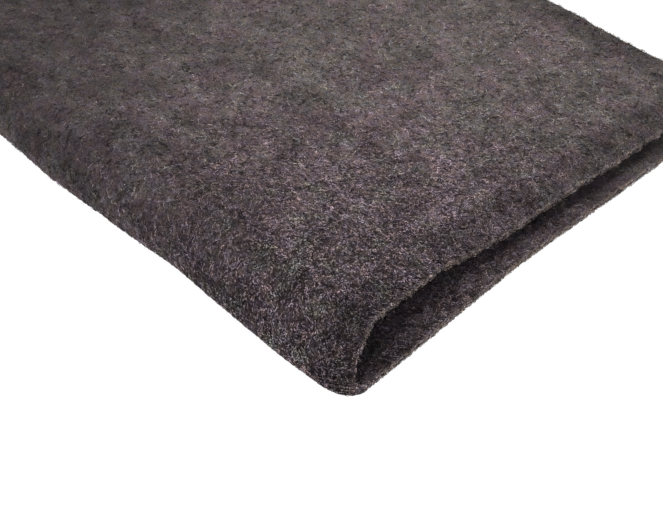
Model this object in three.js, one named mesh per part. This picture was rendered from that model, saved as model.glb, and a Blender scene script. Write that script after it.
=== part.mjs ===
// A thick, soft felted wool cloth, folded once and lying flat, as one closed solid.
// Millimetres, +Z up. The fold runs along X and faces -Y; the free ends lie at +Y.
// The under layer rests on Z = 0, and the origin is below the middle of the whole cloth.
import * as THREE from 'three';

// The cut cloth, before it is folded
const CUT_WIDTH = 230;
const CUT_LENGTH = 305;
const THICKNESS = 1.9;

// The fold's loop and the room between the two layers, at the cut sides
const LOOP_DEPTH = 11;
const LOOP_ROOM = 9.8;
const REAR_ROOM = 3.5;
const ROOM_FADE = 36;

// How far the upper layer reaches past the under one at the free ends
const REAR_OVERHANG = 3;

// The upper layer stands higher away from the cut sides, where it droops.
// inside: distance in from a cut side. lift: how much higher the upper layer is there.
const DROOP = [
  { inside: 0, lift: 0.0 },
  { inside: 4, lift: 0.8 },
  { inside: 8, lift: 1.7 },
  { inside: 12, lift: 2.15 },
  { inside: 18, lift: 2.0 },
  { inside: 32, lift: 1.8 },
  { inside: CUT_WIDTH / 2, lift: 2.0 },
];

// How unevenly the fold lies along its length.
// from: distance from the cut side at +X. forward: how far the fold's front stands out of line.
const FOLD_LINE = [
  { from: 0, forward: -4.0 },
  { from: 1.5, forward: -1.8 },
  { from: 4, forward: -0.4 },
  { from: 9, forward: 0.3 },
  { from: 18, forward: 0.6 },
  { from: 30, forward: 0.3 },
  { from: 44, forward: -0.1 },
  { from: 58, forward: -0.7 },
  { from: 73, forward: 0.1 },
  { from: 90, forward: 0.7 },
  { from: 108, forward: 1.3 },
  { from: 124, forward: 0.5 },
  { from: 142, forward: 0.1 },
  { from: 168, forward: -0.6 },
  { from: 196, forward: 0.4 },
  { from: 220, forward: 0.1 },
  { from: CUT_WIDTH, forward: -0.9 },
];

// The layers don't lie square on each other: the upper one is turned a little towards -X.
// along: distance from the fold's front, along the cloth; the under layer counts as negative.
// aside: how far the cloth lies towards -X there.
const LAY = [
  { along: -155, aside: -0.8 },
  { along: -110, aside: 0.3 },
  { along: -67, aside: 1.3 },
  { along: -28, aside: 0.1 },
  { along: -12, aside: -0.3 },
  { along: -4, aside: -1.2 },
  { along: 2, aside: -0.4 },
  { along: 8, aside: 1.6 },
  { along: 14, aside: 4.9 },
  { along: 20, aside: 6.1 },
  { along: 28, aside: 6.6 },
  { along: 44, aside: 7.9 },
  { along: 66, aside: 6.9 },
  { along: 92, aside: 5.6 },
  { along: 121, aside: 4.4 },
  { along: 155, aside: 3.9 },
];

// Slow unevenness of the upper layer, as waves across its plane.
// wave: length of one wave. turn: its direction in degrees from X. height and start: its size and phase.
const UNEVEN = [
  { wave: 88, turn: 24, height: 0.35, start: 0.6 },
  { wave: 61, turn: -52, height: 0.25, start: 2.1 },
  { wave: 133, turn: 83, height: 0.3, start: 4.0 },
];

// How finely the solid is divided
const STATIONS = 41;
const STATION_CROWDING = 0.6;
const UNDER_STEPS = 12;
const LOOP_STEPS = 12;
const UPPER_STEPS = 24;
const STEP_CROWDING = 0.45;

const FELT_COLOUR = 0x4a4345;

// A smooth curve through a table's rows, read at one place.
function read(table, place, value, at) {
  const last = table.length - 1;
  let i = 0;
  while (i < last - 1 && at > table[i + 1][place]) i += 1;
  const slope = (k) => {
    const before = table[Math.max(k - 1, 0)];
    const after = table[Math.min(k + 1, last)];
    return (after[value] - before[value]) / (after[place] - before[place]);
  };
  const [left, right] = [table[i], table[i + 1]];
  const span = right[place] - left[place];
  const t = THREE.MathUtils.clamp((at - left[place]) / span, 0, 1);
  const s = 1 - t;
  return left[value] * s * s * (1 + 2 * t) + right[value] * t * t * (3 - 2 * t)
    + span * t * s * (slope(i) * s - slope(i + 1) * t);
}

// Half the outline of an ellipse, by Ramanujan's formula.
function halfEllipse(a, b) {
  return (Math.PI / 2) * (3 * (a + b) - Math.sqrt((3 * a + b) * (a + 3 * b)));
}

const LOOP_LENGTH = halfEllipse(LOOP_DEPTH, (LOOP_ROOM + THICKNESS) / 2);
const UNDER_RUN = (CUT_LENGTH - LOOP_LENGTH - REAR_OVERHANG) / 2;
const UPPER_RUN = UNDER_RUN + REAR_OVERHANG;

// Clear height between the layers behind the loop.
function room(back) {
  const fade = Math.exp(-((back / ROOM_FADE) ** 2));
  return REAR_ROOM + (LOOP_ROOM - REAR_ROOM) * fade;
}

function unevenness(x, y) {
  return UNEVEN.reduce((sum, { wave, turn, height, start }) => {
    const angle = THREE.MathUtils.degToRad(turn);
    const travel = x * Math.cos(angle) + y * Math.sin(angle);
    return sum + height * Math.sin((2 * Math.PI * travel) / wave + start);
  }, 0);
}

// The middle of the cloth's thickness. from: distance from the cut side at +X.
// way: 0 to 1 on the under layer, 1 to 2 round the loop, 2 to 3 on the upper layer.
function middle(from, way) {
  const lift = read(DROOP, 'inside', 'lift', Math.min(from, CUT_WIDTH - from));
  const forward = read(FOLD_LINE, 'from', 'forward', from);
  const rise = (LOOP_ROOM + lift + THICKNESS) / 2;
  let [behind, height, along] = [0, 0, 0];
  if (way <= 1) {
    behind = LOOP_DEPTH + UNDER_RUN * (1 - way);
    height = THICKNESS / 2;
    along = -LOOP_LENGTH / 2 - UNDER_RUN * (1 - way);
  } else if (way < 2) {
    const angle = Math.PI * (way - 1);
    behind = LOOP_DEPTH * (1 - Math.sin(angle));
    height = THICKNESS / 2 + rise * (1 - Math.cos(angle));
    along = LOOP_LENGTH * (way - 1.5);
  } else {
    const back = UPPER_RUN * (way - 2);
    const settled = THREE.MathUtils.smoothstep(back, 0, ROOM_FADE);
    behind = LOOP_DEPTH + back;
    height = THICKNESS * 1.5 + room(back) + lift + settled * unevenness(from, back);
    along = LOOP_LENGTH / 2 + back;
  }
  const nearFold = Math.exp(-((behind / ROOM_FADE) ** 2));
  const aside = read(LAY, 'along', 'aside', along);
  return new THREE.Vector3(-from - aside, behind - forward * nearFold, height);
}

// Evenly counted places from 0 to 1, closer together at both ends.
function crowded(count, crowding) {
  return Array.from({ length: count }, (_, i) => {
    const even = i / (count - 1);
    return even - (crowding * Math.sin(2 * Math.PI * even)) / (2 * Math.PI);
  });
}

// Places from 0 to 1 that grow further apart away from the loop.
function growing(count) {
  return Array.from({ length: count }, (_, i) => {
    const even = (i + 1) / count;
    return even * (1 - STEP_CROWDING) + even * even * STEP_CROWDING;
  });
}

function sectionWays() {
  const under = growing(UNDER_STEPS).map((w) => 1 - w).reverse();
  const loop = Array.from({ length: LOOP_STEPS + 1 }, (_, i) => 1 + i / LOOP_STEPS);
  const upper = growing(UPPER_STEPS).map((w) => 2 + w);
  return [...under, ...loop, ...upper];
}

// One face of the cloth: its middle moved out of the fold, or into it, by half the thickness.
function facePoint(from, way, outward) {
  const SMALL = 1e-3;
  const ahead = middle(from, Math.min(way + SMALL, 3));
  const behind = middle(from, Math.max(way - SMALL, 0));
  const run = ahead.sub(behind);
  const out = new THREE.Vector3(0, -run.z, run.y).normalize();
  return middle(from, way).addScaledVector(out, (outward * THICKNESS) / 2);
}

function clothGeometry() {
  const froms = crowded(STATIONS, STATION_CROWDING).map((f) => CUT_WIDTH * (1 - f));
  const ways = sectionWays();
  const points = [1, -1].flatMap((outward) =>
    froms.flatMap((from) => ways.map((way) => facePoint(from, way, outward))));
  const rows = froms.length;
  const columns = ways.length;
  const outer = (i, j) => i * columns + j;
  const inner = (i, j) => rows * columns + outer(i, j);
  const index = [];
  const quad = (a, b, c, d) => index.push(a, b, c, a, c, d);
  for (let i = 0; i < rows - 1; i += 1) {
    for (let j = 0; j < columns - 1; j += 1) {
      quad(outer(i, j), outer(i + 1, j), outer(i + 1, j + 1), outer(i, j + 1));
      quad(inner(i, j), inner(i, j + 1), inner(i + 1, j + 1), inner(i + 1, j));
    }
  }
  const [lastRow, lastColumn] = [rows - 1, columns - 1];
  for (let j = 0; j < lastColumn; j += 1) {
    quad(outer(lastRow, j + 1), outer(lastRow, j), inner(lastRow, j), inner(lastRow, j + 1));
    quad(outer(0, j), outer(0, j + 1), inner(0, j + 1), inner(0, j));
  }
  for (let i = 0; i < lastRow; i += 1) {
    quad(outer(i + 1, 0), outer(i, 0), inner(i, 0), inner(i + 1, 0));
    quad(outer(i, lastColumn), outer(i + 1, lastColumn), inner(i + 1, lastColumn), inner(i, lastColumn));
  }
  const geometry = new THREE.BufferGeometry().setFromPoints(points);
  geometry.setIndex(index);
  geometry.computeVertexNormals();
  return geometry;
}

const cloth = new THREE.Mesh(
  clothGeometry(),
  new THREE.MeshStandardMaterial({ color: FELT_COLOUR, roughness: 0.95, metalness: 0 }),
);
cloth.name = 'felt_cloth';

// The origin goes below the middle of the cloth, on the surface that it lies on.
const box = new THREE.Box3().setFromObject(cloth);
const centre = box.getCenter(new THREE.Vector3());
cloth.position.set(-centre.x, -centre.y, -box.min.z);

const group = new THREE.Group();
group.add(cloth);

export default group;
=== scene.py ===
# Looks of a thick felted wool cloth, folded once and lying flat.
# Metres, in the frame of the solids: the fold runs along X and faces -Y, the cut side shown in
# front faces +X, and the free ends lie at +Y.
import math

import bpy
import numpy as np
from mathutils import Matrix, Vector


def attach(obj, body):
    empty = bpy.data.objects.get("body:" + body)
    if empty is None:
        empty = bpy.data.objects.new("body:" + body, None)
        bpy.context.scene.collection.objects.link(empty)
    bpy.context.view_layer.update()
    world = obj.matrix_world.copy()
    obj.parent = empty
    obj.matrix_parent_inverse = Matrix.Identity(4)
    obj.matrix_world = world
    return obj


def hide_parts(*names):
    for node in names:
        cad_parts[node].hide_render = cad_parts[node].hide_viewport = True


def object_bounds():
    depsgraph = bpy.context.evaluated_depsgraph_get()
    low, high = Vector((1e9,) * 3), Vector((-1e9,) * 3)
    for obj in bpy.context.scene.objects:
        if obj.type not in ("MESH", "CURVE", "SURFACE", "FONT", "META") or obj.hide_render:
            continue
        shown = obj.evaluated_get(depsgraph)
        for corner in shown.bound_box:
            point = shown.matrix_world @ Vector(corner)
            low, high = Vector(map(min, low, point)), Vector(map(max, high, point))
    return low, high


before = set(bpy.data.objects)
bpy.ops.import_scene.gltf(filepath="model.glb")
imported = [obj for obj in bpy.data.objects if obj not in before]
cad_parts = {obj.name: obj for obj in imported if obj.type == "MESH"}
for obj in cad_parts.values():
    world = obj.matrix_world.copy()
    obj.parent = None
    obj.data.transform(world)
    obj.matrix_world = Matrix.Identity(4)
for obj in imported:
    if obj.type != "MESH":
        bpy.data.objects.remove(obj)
CAD_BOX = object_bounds()

MM = 0.001
SEED = 41

# The cut cloth and its fold, as in the solid
CUT_WIDTH = 230 * MM
CUT_LENGTH = 305 * MM
THICKNESS = 1.9 * MM
LOOP_DEPTH = 11 * MM
LOOP_ROOM = 9.8 * MM
REAR_ROOM = 3.5 * MM
ROOM_FADE = 36 * MM
REAR_OVERHANG = 3 * MM

# Distance in from a cut side, and how much higher the upper layer is there
DROOP = np.array([(0, 0.0), (4, 0.8), (8, 1.7), (12, 2.15), (18, 2.0), (32, 1.8), (115, 2.0)]) * MM

# Distance from the cut side at +X, and how far the fold's front stands out of line
FOLD_LINE = np.array([
    (0, -4.0), (1.5, -1.8), (4, -0.4), (9, 0.3), (18, 0.6), (30, 0.3),
    (44, -0.1), (58, -0.7), (73, 0.1), (90, 0.7), (108, 1.3), (124, 0.5),
    (142, 0.1), (168, -0.6), (196, 0.4), (220, 0.1), (230, -0.9),
]) * MM

# Distance along the cloth from the fold's front, and how far the cloth lies towards -X
LAY = np.array([
    (-155, -0.8), (-110, 0.3), (-67, 1.3), (-28, 0.1), (-12, -0.3), (-4, -1.2), (2, -0.4), (8, 1.6),
    (14, 4.9), (20, 6.1), (28, 6.6), (44, 7.9), (66, 6.9), (92, 5.6), (121, 4.4), (155, 3.9),
]) * MM

# Slow waves of the upper layer: length, direction in degrees from X, height and phase
UNEVEN = [
    (88 * MM, 24, 0.35 * MM, 0.6),
    (61 * MM, -52, 0.25 * MM, 2.1),
    (133 * MM, 83, 0.3 * MM, 4.0),
]

# The camera: its focal length in millimetres, its place from the cloth's near corner, which lies
# this far behind the fold's front, and its turn and downward tilt in degrees
LENS = 75
CAMERA_FROM_CORNER = Vector((141.9, -144.1, 242.5)) * MM
CORNER_BEHIND_FRONT = 2.7 * MM
AZIMUTH = 45.54
DOWN = 43.97

# How finely the felt is divided: across and on the upper layer, on the under one, and round the loop.
# The survey that finds its place takes steps of these sizes across and along.
CLOTH_STEP = 1.7 * MM
UNDER_STEP = 3 * MM
LOOP_STEP = 0.9 * MM
SURVEY_STEPS = (1 * MM, 0.5 * MM)

# The radius that rounds the cut edges, and how many points draw it
ARRIS = 0.55 * MM
ARRIS_POINTS = 4

# Small lumps over the faces, as this many crossed waves of one height and of lengths in this range
LUMP_WAVES = 14
LUMP_LENGTHS = (4 * MM, 11 * MM)
LUMP_HEIGHT = 0.02 * MM

# The cut edges wander a little, in waves of these lengths and heights. The phases set each edge and
# each wave apart. The wandering fades in this depth, and only this share is left on the under layer.
WANDER = [(5.3 * MM, 0.1 * MM), (8.9 * MM, 0.12 * MM), (17.9 * MM, 0.1 * MM), (41 * MM, 0.14 * MM)]
EDGE_PHASE = 1.7
WAVE_PHASE = 2.3
WANDER_DEPTH = 4 * MM
UNDER_WANDER = 0.3

# Shares of the map's width for the outer and the inner face; the rims take the rest
OUTER_SHARE = 0.485
INNER_SHARE = 0.485

# Painted shade: the wool is painted darker in a strip along the cut edges, round the fold, and on the inner
# face, where the cloth lies in shade.
# Each strip's range is where it fades out, as a distance from the edge or the fold's front.
EDGE_STRIP = (7 * MM, 11 * MM)
EDGE_SHADE = 0.3
FOLD_STRIP = (12 * MM, 34 * MM)
FOLD_SHADE = 0.12
INNER_LIGHT = 0.7

# The cut edges are brown within this distance, and less so near the fold's front
EDGE_FADE = 0.6 * MM
PLAIN_FRONT = (5 * MM, 14 * MM)
FRONT_LESS_BROWN = 0.7

# Colours of the wool, in linear light
WOOL_DEEP = (0.050, 0.034, 0.038)
WOOL_DULL = (0.066, 0.048, 0.051)
WOOL_VIOLET = (0.170, 0.116, 0.127)
WOOL_GREEN = (0.136, 0.124, 0.107)
WOOL_PALE = (0.29, 0.25, 0.25)
EDGE_BROWN = (0.40, 0.325, 0.30)
BROWNISH = (1.04, 1.0, 0.92)
BLUISH = (0.97, 1.0, 1.09)
FIBRE_DARK = (0.017, 0.009, 0.011)
FIBRE_VIOLET = (0.88, 0.68, 0.73)
FIBRE_GREEN = (0.72, 0.71, 0.625)
EDGE_FIBRE = (0.66, 0.54, 0.485)

# Away from the near corner, over these distances, the wool turns greener, by these shifts of its
# tint, and calmer, with this share of its drawn fibres left
GREENER = (60 * MM, 140 * MM)
GREENER_BY = (-0.1, 0.11)
CALMER = (45 * MM, 125 * MM)
CALM_FIBRES = 0.85

# Patches over the wool. scale is in cells a metre, here and below, offset sets each apart, reach is
# the noise's range, and values is what that range stands for. Clumps, drifts and lumps change the
# light, and casts change the colour.
CLUMPS = dict(scale=300, detail=3, roughness=0.62, offset=(0, 0, 0), reach=(0.28, 0.72), values=(0.79, 1.21))
DRIFTS = dict(scale=75, detail=2, offset=(0.2, 0.9, 0.1), reach=(0.3, 0.7), values=(0.82, 1.18))
LUMPS = dict(scale=170, detail=1, offset=(0.5, 0.6, 0.3), reach=(0.3, 0.7), values=(-0.15, 0.15))
CASTS = dict(scale=430, detail=2, offset=(0.4, 0.1, 0.8), reach=(0.36, 0.64))

# Spots of violet and green
TINT_SCALE = 150
TINT_OFFSET = (0.7, 0.2, 0.4)
TINT_REACH = (0.34, 0.7)

# Layers of drawn fibres: noise scale, half width, how pale, and an offset that sets them apart
FIBRE_LAYERS = [
    (620, 0.04, 0.85, (0.0, 0.0, 0.0)),
    (860, 0.05, 0.75, (0.31, 0.17, 0.23)),
    (1150, 0.055, 0.65, (0.53, 0.41, 0.07)),
    (1450, 0.06, 0.55, (0.13, 0.71, 0.37)),
]

# Each drawn fibre is full within this share of its width, is bent by a warp of this size, and is
# broken by noise of this share of its own scale
FIBRE_CORE = 0.25
WARP_SCALE = 900
WARP = 1.1 * MM
BREAK_SCALE = 0.6
BREAK_REACH = (0.42, 0.6)

# The finest grain of the felt, in its ground, along its cut edges and in its bump
FINE_SCALE = 2800
FINE_ROUGHNESS = 0.6
FINE_REACH = (0.36, 0.62)
EDGE_REACH = (0.3, 0.6)
EDGE_LEAST = 0.35
FINE_BUMP = 0.8
BUMP_DEPTH = 0.35 * MM

# The grain of the loose fibres: the least and the most of their light, at the near corner and away from it
GRAIN_SCALE = 2600
GRAIN_ROUGHNESS = 0.6
GRAIN_REACH = (0.36, 0.64)
CORNER_GRAIN = (0.03, 1.68)
SOFT_GRAIN = (0.38, 1.3)
GRAIN_SOFTENS = (25 * MM, 75 * MM)

# Loose fibres over the outer face. points are those along each fibre, and reach is how far the
# fibres spread from the near corner. A share of them is pale, up to the palest, and the others
# are dark.
FACE_FIBRES = [
    dict(name="fibres_corner_a", count=16400, points=4, length=1.3 * MM, radius=0.072 * MM,
         reach=34 * MM, pale_share=0.46, palest=1.0, darkest=0.0),
    dict(name="fibres_corner_b", count=8200, points=6, length=2.5 * MM, radius=0.07 * MM,
         reach=44 * MM, pale_share=0.42, palest=1.0, darkest=0.0),
    dict(name="fibres_wide_a", count=16400, points=4, length=1.5 * MM, radius=0.075 * MM,
         reach=110 * MM, pale_share=0.42, palest=0.42, darkest=0.04),
    dict(name="fibres_wide_b", count=5400, points=5, length=2.4 * MM, radius=0.075 * MM,
         reach=300 * MM, pale_share=0.4, palest=0.44, darkest=0.03),
    dict(name="fibres_long", count=500, points=9, length=4.4 * MM, radius=0.065 * MM,
         reach=45 * MM, pale_share=1.0, palest=1.0, darkest=0.0),
]

# Along the cut side a distance counts as this share of itself in that spread, and the fibres reach
# this far past the fold on the under layer
CUT_SIDE_NEARER = 0.7
UNDER_REACH = 2 * MM

# Loose fibres inside the fold. They gather this deep in from a cut side, this share of them at the
# near one, with this middle and spread of their places along the cloth.
INSIDE_COUNT = 4200
INSIDE_POINTS = 5
INSIDE_LENGTH = 2.8 * MM
INSIDE_RADIUS = 0.075 * MM
INSIDE_DEPTH = 14 * MM
INSIDE_NEAR_SHARE = 0.7
INSIDE_MIDDLE = -42 * MM
INSIDE_SPREAD = 34 * MM
INSIDE_PALE_SHARE = 0.4
INSIDE_PALEST = 0.75

# Loose fibres on the cut edges: where they lie in the cloth's thickness, as shares of it, how much of
# their curl goes up and down, and how far they may stand past the faces
EDGE_LEVELS = (-0.02, 1.02)
EDGE_SLANT = 0.5
EDGE_PROUD = 0.12 * MM
EDGE_POINTS = 4
EDGE_RADIUS = 0.07 * MM
EDGE_PALE_SHARE = 0.6
EDGE_PALEST = 0.95

# How far the ends of a loose fibre dip into the wool, and how high its middle arches at most
DIP = 0.03 * MM
ARCH = 0.25 * MM

# How far inside the cut edges loose fibres stop, and how far past them they stray on the upper layer
RIM = 0.2 * MM
STRAY = 0.8 * MM

# Ranges for each loose fibre: shares of its length, radius and arch, how much it swings, the wave of
# that swing, and the spreads of its bend and its wobble
LENGTHS = (0.6, 1.3)
RADII = (0.7, 1.25)
ARCHES = (0.2, 1.0)
SWINGS = (0.5, 1.5)
SWING_WAVES = (1.2 * MM, 2.4 * MM)
BEND = 0.8 / MM
WOBBLE = 0.25

# A pale fibre has at least this share of the palest shade, and a dark one is at most this much
# over the darkest
LEAST_PALE = 0.5
MOST_DARK = 0.05

# The sides of each loose fibre, the place of each across its cell of the map, and the cell's margin
SIDES = 3
SIDE_PLACES = (0.2, 0.8, 0.5)
CELL_MARGIN = 0.1

# The floor reaches this far each way, just below the cloth
FLOOR_REACH = 3.0
FLOOR_BELOW = 0.1 * MM

# The soft light from all round: its colour and strength
STUDIO_COLOUR = (0.83, 0.87, 1.0, 1)
STUDIO_LIGHT = 0.26

# Round lamps, in metres, watts and degrees
LAMPS = [
    dict(name="key", place=(-0.04, 0.15, 0.25), aim=(0.07, 0.035, 0), size=0.2, power=0.108,
         spread=70, colour=(1.0, 0.98, 0.95)),
    dict(name="top_light", place=(0.06, 0.01, 0.3), aim=(0.06, 0.01, 0), size=0.15, power=0.046, spread=45),
    dict(name="front_fill", place=(0.24, -0.51, 0.2), aim=(0, 0, 0), size=0.28, power=0.61),
    dict(name="side_fill", place=(0.4, 0.4, 0.2), aim=(0, 0, 0), size=0.28, power=0.38),
    dict(name="near_fill", place=(0.4, -0.4, 0.35), aim=(0, 0, 0), size=0.28, power=0.1,
         colour=(0.72, 0.88, 1.15)),
]


def read(table, at):
    """A smooth curve through a table's rows, read at many places."""
    place, value = table[:, 0], table[:, 1]
    last = len(place) - 1
    row = np.clip(np.searchsorted(place, at, side="left") - 1, 0, last - 1)
    rows = np.arange(last + 1)
    before, after = np.maximum(rows - 1, 0), np.minimum(rows + 1, last)
    slope = (value[after] - value[before]) / (place[after] - place[before])
    span = place[row + 1] - place[row]
    t = np.clip((at - place[row]) / span, 0, 1)
    s = 1 - t
    return (value[row] * s * s * (1 + 2 * t) + value[row + 1] * t * t * (3 - 2 * t)
            + span * t * s * (slope[row] * s - slope[row + 1] * t))


def half_ellipse(a, b):
    """Half the outline of an ellipse, by Ramanujan's formula."""
    return math.pi / 2 * (3 * (a + b) - math.sqrt((3 * a + b) * (a + 3 * b)))


LOOP_LENGTH = half_ellipse(LOOP_DEPTH, (LOOP_ROOM + THICKNESS) / 2)
UNDER_RUN = (CUT_LENGTH - LOOP_LENGTH - REAR_OVERHANG) / 2
UPPER_RUN = UNDER_RUN + REAR_OVERHANG
UNDER_END = -LOOP_LENGTH / 2 - UNDER_RUN
UPPER_END = LOOP_LENGTH / 2 + UPPER_RUN

# The rows of the loose fibres on the cut edges. bulge is how far they stand out at most, and stretch
# is the part of the edge that they lie on.
EDGE_FIBRES = [
    dict(edge="near", count=2400, length=1.7 * MM, bulge=0.06 * MM, stretch=(UNDER_END, LOOP_LENGTH / 4)),
    dict(edge="near", count=2000, length=1.5 * MM, bulge=0.25 * MM, stretch=(LOOP_LENGTH / 4, UPPER_END)),
    dict(edge="near", count=240, length=2.2 * MM, bulge=0.7 * MM, stretch=(LOOP_LENGTH / 4, UPPER_END)),
    dict(edge="far", count=1600, length=1.7 * MM, bulge=0.1 * MM, stretch=(UNDER_END, UPPER_END)),
    dict(edge="far", count=120, length=2.2 * MM, bulge=0.6 * MM, stretch=(LOOP_LENGTH / 4, UPPER_END)),
    dict(edge="upper_end", count=1600, length=1.7 * MM, bulge=0.12 * MM, stretch=(0, CUT_WIDTH)),
    dict(edge="lower_end", count=1400, length=1.7 * MM, bulge=0.12 * MM, stretch=(0, CUT_WIDTH)),
]


def smoothstep(x, low, high):
    t = np.clip((x - low) / (high - low), 0, 1)
    return t * t * (3 - 2 * t)


def unevenness(x, y):
    """The height of the upper layer's slow waves."""
    total = 0
    for wave, turn, height, start in UNEVEN:
        travel = x * math.cos(math.radians(turn)) + y * math.sin(math.radians(turn))
        total = total + height * np.sin(2 * math.pi * travel / wave + start)
    return total


def middle(start, along):
    """The middle of the cloth's thickness. start: distance from the cut side at +X.
    along: distance along the cloth from the fold's front, negative on the under layer."""
    start, along = np.broadcast_arrays(start, along)
    lift = read(DROOP, np.minimum(start, CUT_WIDTH - start))
    forward = read(FOLD_LINE, start)
    rise = (LOOP_ROOM + lift + THICKNESS) / 2
    turn = math.pi * (np.clip(along / LOOP_LENGTH, -0.5, 0.5) + 0.5)
    back = np.maximum(np.abs(along) - LOOP_LENGTH / 2, 0)
    upper = along > LOOP_LENGTH / 2
    behind = LOOP_DEPTH * (1 - np.sin(turn)) + back
    room = REAR_ROOM + (LOOP_ROOM - REAR_ROOM) * np.exp(-((back / ROOM_FADE) ** 2))
    settled = smoothstep(back, 0, ROOM_FADE)
    above = THICKNESS * 1.5 + room + lift + settled * unevenness(start, back)
    height = np.where(upper, above, THICKNESS / 2 + rise * (1 - np.cos(turn)))
    near_fold = np.exp(-((behind / ROOM_FADE) ** 2))
    return np.stack([-start - read(LAY, along), behind - forward * near_fold, height], -1)


def outward(start, along):
    """The cloth's normal that points out of the fold."""
    small = 0.05 * MM
    run = middle(start, along + small) - middle(start, along - small)
    cross = middle(start - small, along) - middle(start + small, along)
    out = np.cross(cross, run)
    return out / np.linalg.norm(out, axis=-1, keepdims=True)


def wander(travel, edge):
    """How far one cut edge wanders along its way."""
    total = 0
    for number, (wave, height) in enumerate(WANDER):
        phase = edge * EDGE_PHASE + number * WAVE_PHASE
        total = total + height * np.sin(2 * math.pi * travel / wave + phase)
    return total


def uneven_cut(start, along):
    """A place on the cloth, moved as the nearest cut edges wander."""
    free = UNDER_WANDER + (1 - UNDER_WANDER) * smoothstep(along, 0, LOOP_LENGTH)
    near, far = (free * (1 - smoothstep(gap, 0, WANDER_DEPTH)) for gap in (start, CUT_WIDTH - start))
    lower, upper = (1 - smoothstep(gap, 0, WANDER_DEPTH) for gap in (along - UNDER_END, UPPER_END - along))
    aside = near * wander(along, 0) + far * wander(along, 1)
    ahead = lower * wander(start, 2) + upper * wander(start, 3)
    return start + aside, along + ahead


def find_place():
    """What moves the drawn cloth to where the solid is."""
    across, ahead = (round(size / step) + 1 for size, step in zip((CUT_WIDTH, CUT_LENGTH), SURVEY_STEPS))
    start, along = np.meshgrid(np.linspace(0, CUT_WIDTH, across), np.linspace(UNDER_END, UPPER_END, ahead))
    drawn = middle(start, along)[..., :2].reshape(-1, 2)
    rims = outward(start, along)[..., :2].reshape(-1, 2) * THICKNESS / 2
    both = np.concatenate([drawn + rims, drawn - rims])
    low, high = CAD_BOX
    solid = np.array([(low.x + high.x) / 2, (low.y + high.y) / 2])
    return np.append(solid - (both.min(0) + both.max(0)) / 2, 0.0)


# The cloth is drawn from its near corner, so its place is also that corner's
PLACE = find_place()
NEAR_CORNER = tuple(PLACE)


def face(start, along, side, height):
    """A point over the outer face, side 1, or the inner one, side -1, in the solid's place."""
    start, along = uneven_cut(start, along)
    offset = np.asarray(side * (THICKNESS / 2 + height))[..., None]
    return middle(start, along) + outward(start, along) * offset + PLACE


def edge_gap(start, along):
    """Distance in from the nearest cut edge."""
    return np.minimum(np.minimum(start, CUT_WIDTH - start), np.minimum(along - UNDER_END, UPPER_END - along))


def nap(start, along):
    """How light the outer face is painted: painted shade darkens it along the cut edges and round the fold.
    """
    painted_edge_shade = 1 - EDGE_SHADE * (1 - smoothstep(edge_gap(start, along), *EDGE_STRIP))
    return painted_edge_shade * (1 - FOLD_SHADE * (1 - smoothstep(np.abs(along), *FOLD_STRIP)))


def brownness(along):
    """How brown a cut edge is: least at the fold's front."""
    return 1 - FRONT_LESS_BROWN * (1 - smoothstep(np.abs(along), *PLAIN_FRONT))


def camera():
    data = bpy.data.cameras.new("camera")
    data.lens = LENS
    data.clip_start = 10 * MM
    holder = bpy.data.objects.new("camera", data)
    corner = Vector((PLACE[0], PLACE[1] + CORNER_BEHIND_FRONT, 0))
    holder.location = corner + CAMERA_FROM_CORNER
    holder.rotation_euler = (math.radians(90 - DOWN), 0, math.radians(AZIMUTH))
    bpy.context.scene.collection.objects.link(holder)
    bpy.context.scene.camera = holder


def new_mesh(name, points, faces, material, uv, **values):
    """A mesh piece from points and faces that all have the same number of corners.
    uv has a place for each corner of each face, and values are numbers kept at the points."""
    mesh = bpy.data.meshes.new(name)
    faces = np.asarray(faces, np.int32)
    corners = faces.shape[1]
    mesh.vertices.add(len(points))
    mesh.vertices.foreach_set("co", np.asarray(points, np.float32).ravel())
    mesh.loops.add(faces.size)
    mesh.loops.foreach_set("vertex_index", faces.ravel())
    mesh.polygons.add(len(faces))
    mesh.polygons.foreach_set("loop_start", np.arange(0, faces.size, corners, dtype=np.int32))
    mesh.polygons.foreach_set("use_smooth", np.ones(len(faces), bool))
    layer = mesh.uv_layers.new(name="OFBake")
    layer.uv.foreach_set("vector", np.asarray(uv, np.float32).ravel())
    for key, numbers in values.items():
        kept = mesh.attributes.new(key, "FLOAT", "POINT")
        kept.data.foreach_set("value", np.asarray(numbers, np.float32).ravel())
    mesh.materials.append(material)
    mesh.update()
    mesh.validate()
    piece = bpy.data.objects.new(name, mesh)
    bpy.context.scene.collection.objects.link(piece)
    return piece


def dress(piece):
    """Every piece rides on the one body."""
    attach(piece, "root")


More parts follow.
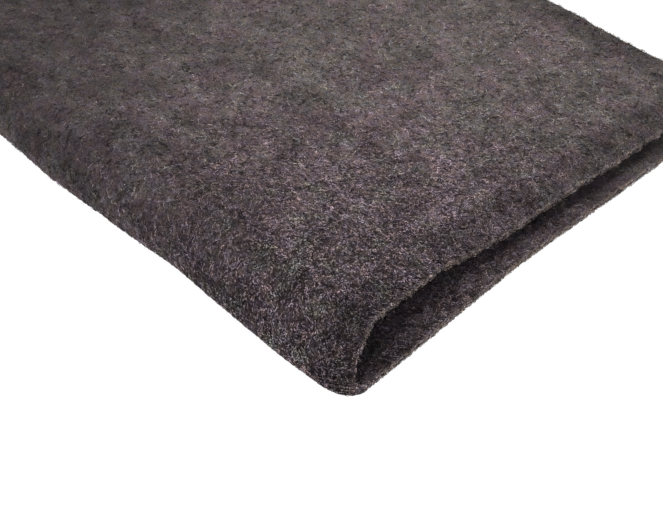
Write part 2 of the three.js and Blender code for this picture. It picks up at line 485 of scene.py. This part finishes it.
class Nodes:
    """Short calls for building one material's nodes."""

    def __init__(self, name):
        self.material = bpy.data.materials.new(name)
        self.material.use_nodes = True
        self.tree = self.material.node_tree
        self.surface = next(node for node in self.tree.nodes if node.type == "BSDF_PRINCIPLED")
        self.place = self.new("TexCoord").outputs["Object"]

    def new(self, kind):
        return self.tree.nodes.new("ShaderNode" + kind)

    def set(self, socket, value):
        """Links another node's output to a socket, or sets the socket's own value."""
        if isinstance(value, bpy.types.NodeSocket):
            self.tree.links.new(value, socket)
        else:
            socket.default_value = value

    def kept(self, name):
        """A number kept at the mesh's points."""
        node = self.new("Attribute")
        node.attribute_name = name
        return node.outputs["Fac"]

    def maths(self, operation, *values):
        node = self.new("Math")
        node.operation = operation
        for socket, value in zip(node.inputs, values):
            self.set(socket, value)
        return node.outputs[0]

    def times(self, first, second):
        return self.maths("MULTIPLY", first, second)

    def plus(self, first, second):
        return self.maths("ADD", first, second)

    def vector(self, operation, *values, output="Vector"):
        node = self.new("VectorMath")
        node.operation = operation
        for socket, value in zip(node.inputs, values):
            self.set(socket, value)
        return node.outputs[output]

    def scaled(self, vector, scale):
        node = self.new("VectorMath")
        node.operation = "SCALE"
        self.set(node.inputs[0], vector)
        self.set(node.inputs["Scale"], scale)
        return node.outputs["Vector"]

    def shifted(self, offset):
        """The place on the object, moved to another part of a noise."""
        return self.vector("ADD", self.place, offset)

    def noise(self, scale, detail, roughness=0.5, at=None, output="Fac"):
        node = self.new("TexNoise")
        self.set(node.inputs["Vector"], self.place if at is None else at)
        node.inputs["Scale"].default_value = scale
        node.inputs["Detail"].default_value = detail
        node.inputs["Roughness"].default_value = roughness
        return node.outputs[output]

    def between(self, value, low, high, to_low=0.0, to_high=1.0):
        """value from low to high, smoothly, as to_low to to_high."""
        node = self.new("MapRange")
        node.interpolation_type = "SMOOTHSTEP"
        for socket, number in zip(node.inputs, (value, low, high, to_low, to_high)):
            self.set(socket, number)
        return node.outputs[0]

    def patch(self, scale, detail, offset, reach, values=(0.0, 1.0), roughness=0.5):
        """Soft patches, from the first of two values to the second."""
        level = self.noise(scale, detail, roughness, self.shifted(offset))
        return self.between(level, *reach, *values)

    def away(self, reach, values=(0.0, 1.0)):
        """The first value near the cloth's near corner, and the second past this range of distance."""
        distance = self.vector("DISTANCE", self.place, NEAR_CORNER, output="Value")
        return self.between(distance, *reach, *values)

    def mix(self, share, first, second):
        """A mix of two colours. The node's colour sockets are its inputs 6 and 7 and its output 2."""
        node = self.new("Mix")
        node.data_type = "RGBA"
        self.set(node.inputs[0], share)
        for socket, value in ((node.inputs[6], first), (node.inputs[7], second)):
            self.set(socket, (*value, 1) if isinstance(value, tuple) else value)
        return node.outputs[2]

    def bump(self, height, distance):
        node = self.new("Bump")
        node.inputs["Strength"].default_value = 1.0
        node.inputs["Distance"].default_value = distance
        self.set(node.inputs["Height"], height)
        return node.outputs[0]


def drawn_fibres(wool):
    """Tangled thin lines, 0 to 1: the level lines of warped noise, broken up along their length."""
    swirl = wool.noise(WARP_SCALE, 1, output="Color")
    warp = wool.scaled(wool.vector("SUBTRACT", swirl, (0.5, 0.5, 0.5)), WARP)
    total = 0.0
    for scale, half_width, pale, offset in FIBRE_LAYERS:
        at = wool.vector("ADD", wool.shifted(offset), warp)
        level = wool.maths("ABSOLUTE", wool.maths("SUBTRACT", wool.noise(scale, 0, at=at), 0.5))
        line = wool.between(level, half_width, half_width * FIBRE_CORE)
        broken = wool.between(wool.noise(scale * BREAK_SCALE, 1, at=at), *BREAK_REACH)
        total = wool.maths("MAXIMUM", total, wool.times(wool.times(line, broken), pale))
    return total


def patches(wool):
    """What varies slowly over the wool: its light, as a colour to multiply by, and its tint, from
    violet to green."""
    pale = wool.times(wool.patch(**CLUMPS), wool.patch(**DRIFTS))
    # Painted shade kept at the mesh's points: darker along the cut edges, round the fold and on the inner
    # face
    pale = wool.times(pale, wool.kept("nap"))
    lumps = wool.times(wool.patch(**LUMPS), wool.away(CALMER))
    pale = wool.times(pale, wool.plus(lumps, 1.0))
    spots = wool.noise(TINT_SCALE, 1, at=wool.shifted(TINT_OFFSET))
    tint = wool.between(wool.plus(spots, wool.away(GREENER, GREENER_BY)), *TINT_REACH)
    light = wool.scaled(wool.mix(wool.patch(**CASTS), BROWNISH, BLUISH), pale)
    return light, tint


def felt_material():
    wool = Nodes("felt")
    fibres = drawn_fibres(wool)
    light, tint = patches(wool)
    fine = wool.noise(FINE_SCALE, 1, FINE_ROUGHNESS)
    calm = wool.away(CALMER)
    deep = wool.mix(calm, WOOL_DEEP, WOOL_DULL)
    ground = wool.mix(wool.between(fine, *FINE_REACH), deep, wool.mix(tint, WOOL_VIOLET, WOOL_GREEN))
    drawn = wool.times(fibres, wool.between(calm, 0, 1, 1.0, CALM_FIBRES))
    colour = wool.mix(drawn, ground, WOOL_PALE)
    edge = wool.times(wool.kept("edge"), wool.between(fine, *EDGE_REACH, EDGE_LEAST, 1.0))
    colour = wool.vector("MULTIPLY", wool.mix(edge, colour, EDGE_BROWN), light)
    wool.set(wool.surface.inputs["Base Color"], colour)
    wool.surface.inputs["Roughness"].default_value = 0.95
    wool.surface.inputs["Specular IOR Level"].default_value = 0.05
    wool.surface.inputs["Sheen Weight"].default_value = 0.04
    wool.surface.inputs["Sheen Roughness"].default_value = 0.5
    wool.surface.inputs["Sheen Tint"].default_value = (0.9, 0.8, 0.82, 1)
    height = wool.plus(fibres, wool.times(fine, FINE_BUMP))
    wool.set(wool.surface.inputs["Normal"], wool.bump(height, BUMP_DEPTH))
    return wool.material


def fibre_material():
    """Loose fibres, each of its own shade, in the same patches as the felt below."""
    wool = Nodes("fibres")
    light, tint = patches(wool)
    full = wool.mix(tint, FIBRE_VIOLET, FIBRE_GREEN)
    full = wool.mix(wool.kept("edge"), full, EDGE_FIBRE)
    soft = wool.away(GRAIN_SOFTENS)
    least, most = (wool.between(soft, 0, 1, *ends) for ends in zip(CORNER_GRAIN, SOFT_GRAIN))
    grain = wool.between(wool.noise(GRAIN_SCALE, 1, GRAIN_ROUGHNESS), *GRAIN_REACH, least, most)
    shade = wool.mix(wool.kept("shade"), FIBRE_DARK, wool.scaled(full, grain))
    wool.set(wool.surface.inputs["Base Color"], wool.vector("MULTIPLY", shade, light))
    wool.surface.inputs["Roughness"].default_value = 0.65
    wool.surface.inputs["Specular IOR Level"].default_value = 0.18
    return wool.material


def cloth_grid():
    """The points of the felt's mesh: their distances from the cut side, and along the cloth."""
    rounding = ARRIS * (1 - np.cos(np.linspace(0, math.pi / 2, ARRIS_POINTS)))[:-1]
    inner = np.linspace(ARRIS, CUT_WIDTH - ARRIS, round(CUT_WIDTH / CLOTH_STEP))
    start = np.concatenate([rounding, inner, (CUT_WIDTH - rounding)[::-1]])
    under = np.linspace(UNDER_END + ARRIS, -LOOP_LENGTH / 2, round(UNDER_RUN / UNDER_STEP))
    loop = np.linspace(-LOOP_LENGTH / 2, LOOP_LENGTH / 2, round(LOOP_LENGTH / LOOP_STEP))[1:]
    upper = np.linspace(LOOP_LENGTH / 2, UPPER_END - ARRIS, round(UPPER_RUN / CLOTH_STEP))[1:]
    along = np.concatenate([UNDER_END + rounding, under, loop, upper, (UPPER_END - rounding)[::-1]])
    return np.meshgrid(start, along, indexing="ij")


def rounded_height(start, along):
    """How far each face draws back towards the middle near a cut edge, which is soft."""
    inside = np.clip(edge_gap(start, along), 0, ARRIS)
    return np.sqrt(ARRIS ** 2 - (ARRIS - inside) ** 2) - ARRIS


def relief(points, rng):
    """Soft small lumps, from crossed waves in random directions."""
    total = np.zeros(points.shape[:-1])
    for _ in range(LUMP_WAVES):
        direction = rng.normal(size=3)
        direction /= np.linalg.norm(direction)
        wave = rng.uniform(*LUMP_LENGTHS)
        total += np.sin(points @ direction * 2 * math.pi / wave + rng.uniform(0, 2 * math.pi))
    return total * LUMP_HEIGHT


def cloth_quads(rows, columns):
    """The faces of the outer side, of the inner one, and of the rims all round. The points of the
    inner side are numbered after those of the outer one."""
    count = rows * columns
    number = np.arange(count).reshape(rows, columns)
    a, b = number[:-1, :-1], number[1:, :-1]
    c, d = number[1:, 1:], number[:-1, 1:]
    outer = np.stack([a, d, c, b], -1).reshape(-1, 4)
    inner = np.stack([a, b, c, d], -1).reshape(-1, 4) + count
    rim = np.concatenate([number[0, :-1], number[:-1, -1], number[-1, :0:-1], number[:0:-1, 0]])
    after = np.roll(rim, -1)
    rims = np.stack([rim, rim + count, after + count, after], -1)
    return outer, inner, rims


def cloth_uv(flat, outer, inner, rims):
    """A place in the map for each corner of each face. flat has the points' places on the cut cloth."""
    outer_uv = flat[outer] * (OUTER_SHARE, 1)
    inner_uv = flat[inner - len(flat)] * (INNER_SHARE, 1) + (OUTER_SHARE, 0)
    steps = np.linspace(0, 1, len(rims) + 1)
    before, after = steps[:-1], steps[1:]
    inside, outside = np.full(len(rims), OUTER_SHARE + INNER_SHARE), np.ones(len(rims))
    rim_uv = np.stack([inside, before, outside, before, outside, after, inside, after], -1)
    return np.concatenate([uv.reshape(-1, 2) for uv in (outer_uv, inner_uv, rim_uv)])


def cloth_piece(material):
    """The felt: both faces of the folded cloth, and the soft rims between them."""
    rng = np.random.default_rng(SEED)
    start, along = cloth_grid()
    height = rounded_height(start, along)
    lumps = relief(middle(start, along), rng)
    on_the_ground = along < -LOOP_LENGTH / 2
    outer = face(start, along, 1, height + np.where(on_the_ground, 0, lumps))
    inner = face(start, along, -1, height - lumps)
    outer[..., 2] = np.maximum(outer[..., 2], 0)
    points = np.concatenate([outer.reshape(-1, 3), inner.reshape(-1, 3)])
    quads = cloth_quads(*start.shape)
    flat = np.stack([start / CUT_WIDTH, (along - UNDER_END) / CUT_LENGTH], -1).reshape(-1, 2)
    edge = (1 - smoothstep(edge_gap(start, along), 0, EDGE_FADE)) * brownness(along)
    # Painted shade: the outer face darker along the cut edges and round the fold, the inner face darker all
    # over
    light = np.concatenate([nap(start, along).ravel(), np.full(start.size, INNER_LIGHT)])
    return new_mesh(
        "felt", points, np.concatenate(quads), material, cloth_uv(flat, *quads),
        edge=np.tile(edge.ravel(), 2), nap=light,
    )


def shades(rng, count, pale_share, palest, darkest=0.0):
    """How pale each fibre is: a share of them is pale, and the others are dark."""
    pale = rng.random(count) < pale_share
    light = rng.uniform(LEAST_PALE, 1, count) * palest
    dark = darkest + rng.uniform(0, MOST_DARK, count)
    return np.where(pale, light, dark)


def curls(rng, count, points, length, arch):
    """Curled flat paths round the origin, and how high each point arches over them."""
    length = length * rng.uniform(*LENGTHS, (count, 1))
    step = length / (points - 1)
    travel = step * np.arange(points - 1)
    bend = rng.normal(0, BEND, (count, 1))
    swing = rng.uniform(*SWINGS, (count, 1))
    wave = rng.uniform(*SWING_WAVES, (count, 1))
    phase = rng.uniform(0, 2 * math.pi, (count, 2))
    heading = phase[:, :1] + bend * travel + swing * np.sin(2 * math.pi * travel / wave + phase[:, 1:])
    moves = np.stack([np.cos(heading), np.sin(heading)]) * step
    path = np.concatenate([np.zeros((2, count, 1)), np.cumsum(moves, axis=2)], axis=2)
    path -= path.mean(axis=2, keepdims=True)
    hump = np.sin(math.pi * np.linspace(0, 1, points))
    rise = arch * rng.uniform(*ARCHES, (count, 1)) * hump
    wobble = rng.normal(0, WOBBLE, (count, points)) * rise
    return path[0], path[1], DIP * (2 * hump - 1) + rise + wobble


def tube_points(path, normal, radius):
    """The points of each tube: one at each end of its path, and a ring at each place between."""
    ahead = np.gradient(path, axis=1)
    ahead /= np.linalg.norm(ahead, axis=-1, keepdims=True)
    across = np.cross(ahead, normal)
    across /= np.linalg.norm(across, axis=-1, keepdims=True)
    up = np.cross(across, ahead)
    angle = 2 * math.pi * np.arange(SIDES)[None, None, :, None] / SIDES
    spoke = np.cos(angle) * up[:, 1:-1, None] + np.sin(angle) * across[:, 1:-1, None]
    rings = path[:, 1:-1, None] + spoke * radius.reshape(-1, 1, 1, 1)
    points = np.concatenate([path[:, :1], rings.reshape(len(path), -1, 3), path[:, -1:]], axis=1)
    points[..., 2] = np.maximum(points[..., 2], 0)
    return points


def tube_faces(rings):
    """The triangles of one tube, by the numbers of its points."""
    last = 1 + rings * SIDES
    faces = []
    for side in range(SIDES):
        ring = 1 + np.arange(rings) * SIDES + side
        beside = 1 + np.arange(rings) * SIDES + (side + 1) % SIDES
        faces.append((0, beside[0], ring[0]))
        for j in range(rings - 1):
            faces.append((ring[j], beside[j], beside[j + 1]))
            faces.append((ring[j], beside[j + 1], ring[j + 1]))
        faces.append((ring[-1], beside[-1], last))
    return np.array(faces)


def tube_places(rings):
    """The place of each point of one tube in its cell of the map."""
    across = np.concatenate([[0.5], np.tile(SIDE_PLACES, rings), [0.5]])
    ahead = np.concatenate([[0], np.repeat(np.arange(1, rings + 1), SIDES), [rings + 1]]) / (rings + 1)
    return np.stack([across, ahead], -1)


def tubes(name, material, path, normal, radius, shade, edge, light):
    """Thin closed tubes along paths, pointed at both ends. Each has its own cell of the map."""
    points = tube_points(path, normal, radius)
    count, size, _ = points.shape
    rings = path.shape[1] - 2
    faces = tube_faces(rings)
    cells = math.ceil(math.sqrt(count))
    cell = np.stack(np.divmod(np.arange(count), cells), -1)[:, None, None]
    uv = (cell + CELL_MARGIN + (1 - 2 * CELL_MARGIN) * tube_places(rings)[faces]) / cells
    all_faces = faces + (np.arange(count) * size)[:, None, None]

    def for_each_point(numbers):
        return np.repeat(np.broadcast_to(numbers, count), size)

    piece = new_mesh(
        name, points.reshape(-1, 3), all_faces.reshape(-1, 3), material, uv,
        shade=for_each_point(shade), edge=for_each_point(edge), nap=for_each_point(light),
    )
    dress(piece)


def scatter(rng, count, reach):
    """Places over the upper layer and the fold, gathered round the near corner within reach.
    They reach further along the cut side than along the fold."""
    start, along = np.empty(0), np.empty(0)
    while len(start) < count:
        across = rng.uniform(0, CUT_WIDTH, count)
        ahead = rng.uniform(-LOOP_LENGTH / 2 - UNDER_REACH, UPPER_END, count)
        distance = np.hypot(across, CUT_SIDE_NEARER * ahead)
        keep = rng.random(count) < np.exp(-((distance / reach) ** 2) / 2)
        start, along = np.append(start, across[keep]), np.append(along, ahead[keep])
    return start[:count, None], along[:count, None]


def on_the_cloth(start, along):
    """Places kept inside the cut edges, or up to a little past them on the upper layer."""
    past = np.where(along > LOOP_LENGTH / 4, STRAY, -RIM)
    return np.clip(start, -past, CUT_WIDTH + past), np.clip(along, UNDER_END + RIM, UPPER_END + STRAY)


def face_fibres(material, rng, name, count, points, length, radius, reach, pale_share, palest, darkest):
    """One piece of loose fibres over the outer face."""
    start, along = scatter(rng, count, reach)
    # Each fibre takes the painted shade of the outer face where it lies
    light = nap(start, along)[:, 0]
    across, ahead, height = curls(rng, count, points, length, ARCH)
    start, along = on_the_cloth(start + across, along + ahead)
    radii = radius * rng.uniform(*RADII, count)
    shade = shades(rng, count, pale_share, palest, darkest)
    path = face(start, along, 1, height)
    tubes(name, material, path, outward(start, along), radii, shade, 0, light)


def inner_fibres(material):
    """Loose fibres on the faces inside the fold, where they show past the open sides."""
    rng = np.random.default_rng(SEED + 2)
    inside = rng.exponential(INSIDE_DEPTH, (INSIDE_COUNT, 1)) % (CUT_WIDTH / 2)
    start = np.where(rng.random((INSIDE_COUNT, 1)) < INSIDE_NEAR_SHARE, inside, CUT_WIDTH - inside)
    along = rng.normal(INSIDE_MIDDLE, INSIDE_SPREAD, (INSIDE_COUNT, 1))
    across, ahead, height = curls(rng, INSIDE_COUNT, INSIDE_POINTS, INSIDE_LENGTH, ARCH)
    start, along = on_the_cloth(start + across, along + ahead)
    radii = INSIDE_RADIUS * rng.uniform(*RADII, INSIDE_COUNT)
    shade = shades(rng, INSIDE_COUNT, INSIDE_PALE_SHARE, INSIDE_PALEST)
    path = face(start, along, -1, height)
    # The fibres inside take the inner face's painted shade
    tubes("fibres_inside", material, path, outward(start, along), radii, shade, 0, INNER_LIGHT)


def past_the_edge(edge, travel, out):
    """A place beside a cut edge: travel is along the edge, and out is away from the cloth."""
    places = {
        "near": (-out, travel),
        "far": (CUT_WIDTH + out, travel),
        "upper_end": (travel, UPPER_END + out),
        "lower_end": (travel, UNDER_END - out),
    }
    return places[edge]


def edge_fibres(material):
    """Fuzzy fibres on the cut edges, which lie along them and bulge out of them."""
    rng = np.random.default_rng(SEED + 3)
    paths, normals, brown = [], [], []
    for row in EDGE_FIBRES:
        edge, count = row["edge"], row["count"]
        across, depth, out = curls(rng, count, EDGE_POINTS, row["length"], row["bulge"])
        level = -THICKNESS * rng.uniform(*EDGE_LEVELS, (count, 1))
        height = np.clip(level + depth * EDGE_SLANT, -THICKNESS - EDGE_PROUD, EDGE_PROUD)
        travel = rng.uniform(*row["stretch"], (count, 1)) + across
        path = face(*past_the_edge(edge, travel, out), 1, height)
        cut_side = edge in ("near", "far")
        paths.append(path)
        normals.append(np.broadcast_to((1.0, 0.0, 0.0) if cut_side else (0.0, 1.0, 0.0), path.shape))
        brown.append(brownness(travel[:, 0]) if cut_side else np.ones(count))
    path = np.concatenate(paths)
    radii = EDGE_RADIUS * rng.uniform(*RADII, len(path))
    shade = shades(rng, len(path), EDGE_PALE_SHARE, EDGE_PALEST)
    tubes("fibres_edges", material, path, np.concatenate(normals), radii, shade, np.concatenate(brown), 1)


def floor():
    mesh = bpy.data.meshes.new("floor")
    corners = [(x * FLOOR_REACH, y * FLOOR_REACH, 0) for x, y in ((-1, -1), (1, -1), (1, 1), (-1, 1))]
    mesh.from_pydata(corners, [], [(0, 1, 2, 3)])
    ground = bpy.data.objects.new("floor", mesh)
    ground.location.z = -FLOOR_BELOW
    bpy.context.scene.collection.objects.link(ground)
    white = Nodes("floor")
    white.surface.inputs["Base Color"].default_value = (0.05, 0.05, 0.05, 1)
    white.surface.inputs["Roughness"].default_value = 0.9
    white.surface.inputs["Specular IOR Level"].default_value = 0.1
    white.surface.inputs["Emission Color"].default_value = (1, 1, 1, 1)
    white.surface.inputs["Emission Strength"].default_value = 0.99
    mesh.materials.append(white.material)


def round_lamp(name, place, aim, size, power, spread=180, colour=(1, 1, 1)):
    data = bpy.data.lights.new(name, "AREA")
    data.spread = math.radians(spread)
    data.shape = "DISK"
    data.size = size
    data.energy = power
    data.color = colour
    lamp = bpy.data.objects.new(name, data)
    lamp.location = place
    lamp.rotation_euler = (Vector(aim) - Vector(place)).to_track_quat("-Z", "Y").to_euler()
    bpy.context.scene.collection.objects.link(lamp)


def lighting():
    world = bpy.data.worlds.new("studio")
    world.use_nodes = True
    background = world.node_tree.nodes["Background"]
    background.inputs["Color"].default_value = STUDIO_COLOUR
    background.inputs["Strength"].default_value = STUDIO_LIGHT
    bpy.context.scene.world = world
    for lamp in LAMPS:
        round_lamp(**lamp)
    bpy.context.scene.view_settings.view_transform = "Standard"


camera()

felt = cloth_piece(felt_material())
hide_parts("felt_cloth")
dress(felt)

fibres = fibre_material()
face_rng = np.random.default_rng(SEED + 1)
for fibre_row in FACE_FIBRES:
    face_fibres(fibres, face_rng, **fibre_row)
inner_fibres(fibres)
edge_fibres(fibres)

floor()
lighting()
